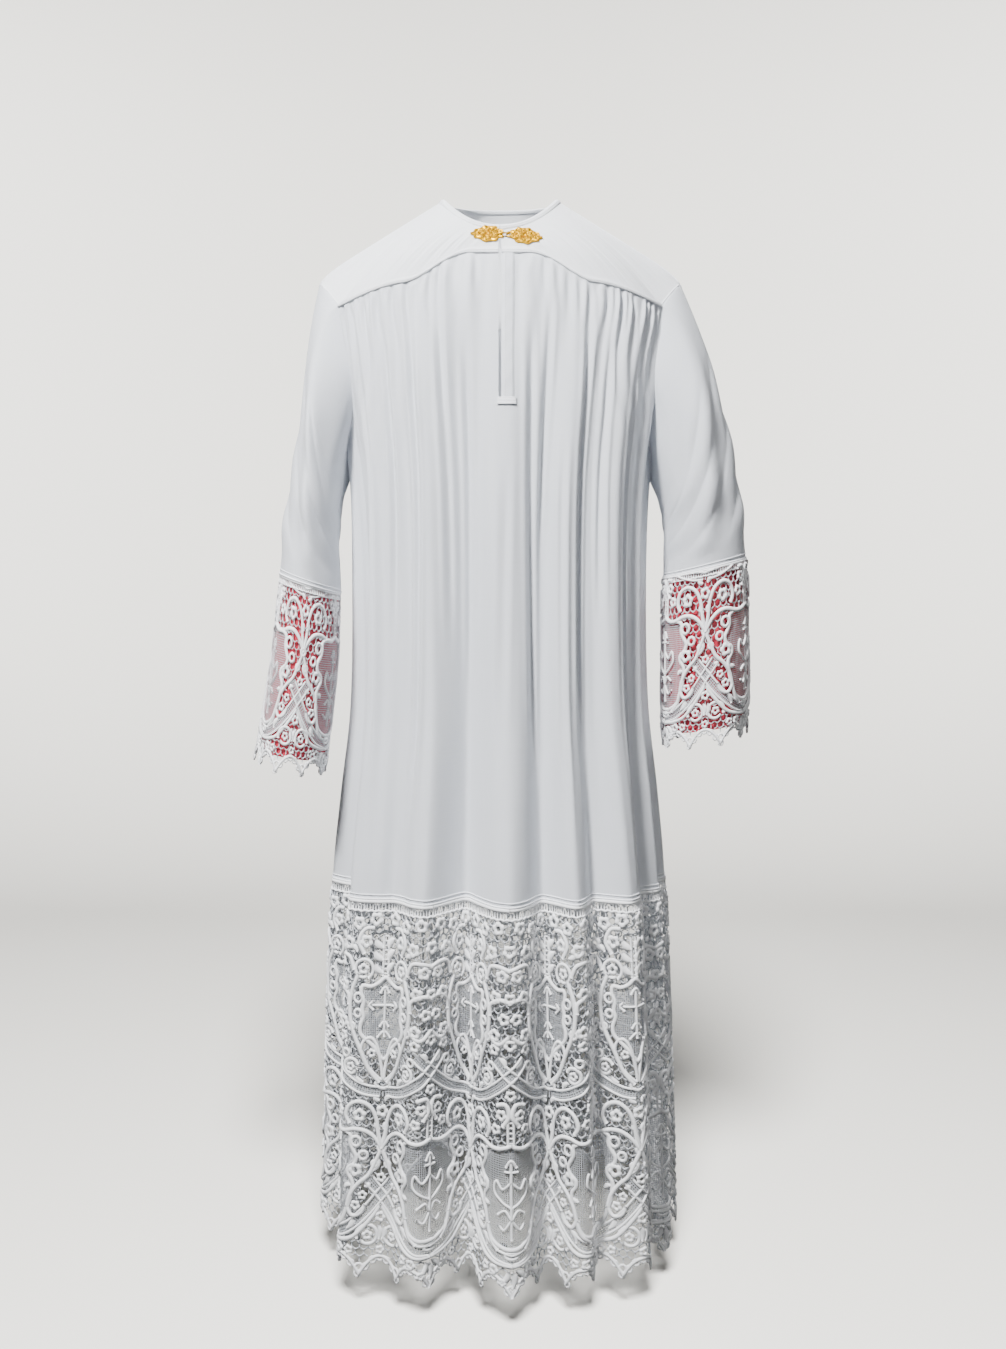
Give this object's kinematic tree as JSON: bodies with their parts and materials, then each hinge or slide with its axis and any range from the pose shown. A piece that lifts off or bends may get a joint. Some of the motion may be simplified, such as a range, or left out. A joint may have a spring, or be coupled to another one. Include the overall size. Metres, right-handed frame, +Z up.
{
  "type": "lace-trimmed priest's alb, worn form",
  "caption": "Long white liturgical tunic with yoke, gathered body, front slit with gilt hook clasp, lace cuffs over red linings and a deep lace hem, in its worn form.",
  "frame": {"origin": "middle of the neck opening, level with the neck ends of the shoulder seams, where the wearer carries it", "axes": "+Z up the wearer's body, +Y towards the wearer's back, +X towards the wearer's left"},
  "size_m": [0.6796, 0.4087, 1.4261],
  "materials": {
    "cotton": "matte fine cotton",
    "lace": "matte cotton lace",
    "lining": "satin",
    "gilt": "polished gilt"
  },
  "bodies": {
    "root": {"front_body": "cotton", "back_body": "cotton", "placket": "cotton", "yoke_front_right": "cotton", "yoke_front_left": "cotton", "yoke_back": "cotton", "sleeve_right_front": "cotton", "sleeve_right_back": "cotton", "sleeve_left_front": "cotton", "sleeve_left_back": "cotton", "cuff_lace_right_front": "lace", "cuff_lace_right_back": "lace", "cuff_lace_left_front": "lace", "cuff_lace_left_back": "lace", "hem_lace_front": "lace", "hem_lace_back": "lace", "cuff_lining_right": "lining", "cuff_lining_left": "lining", "clasp_right": "gilt", "clasp_left": "gilt"}
  },
  "joints": []
}
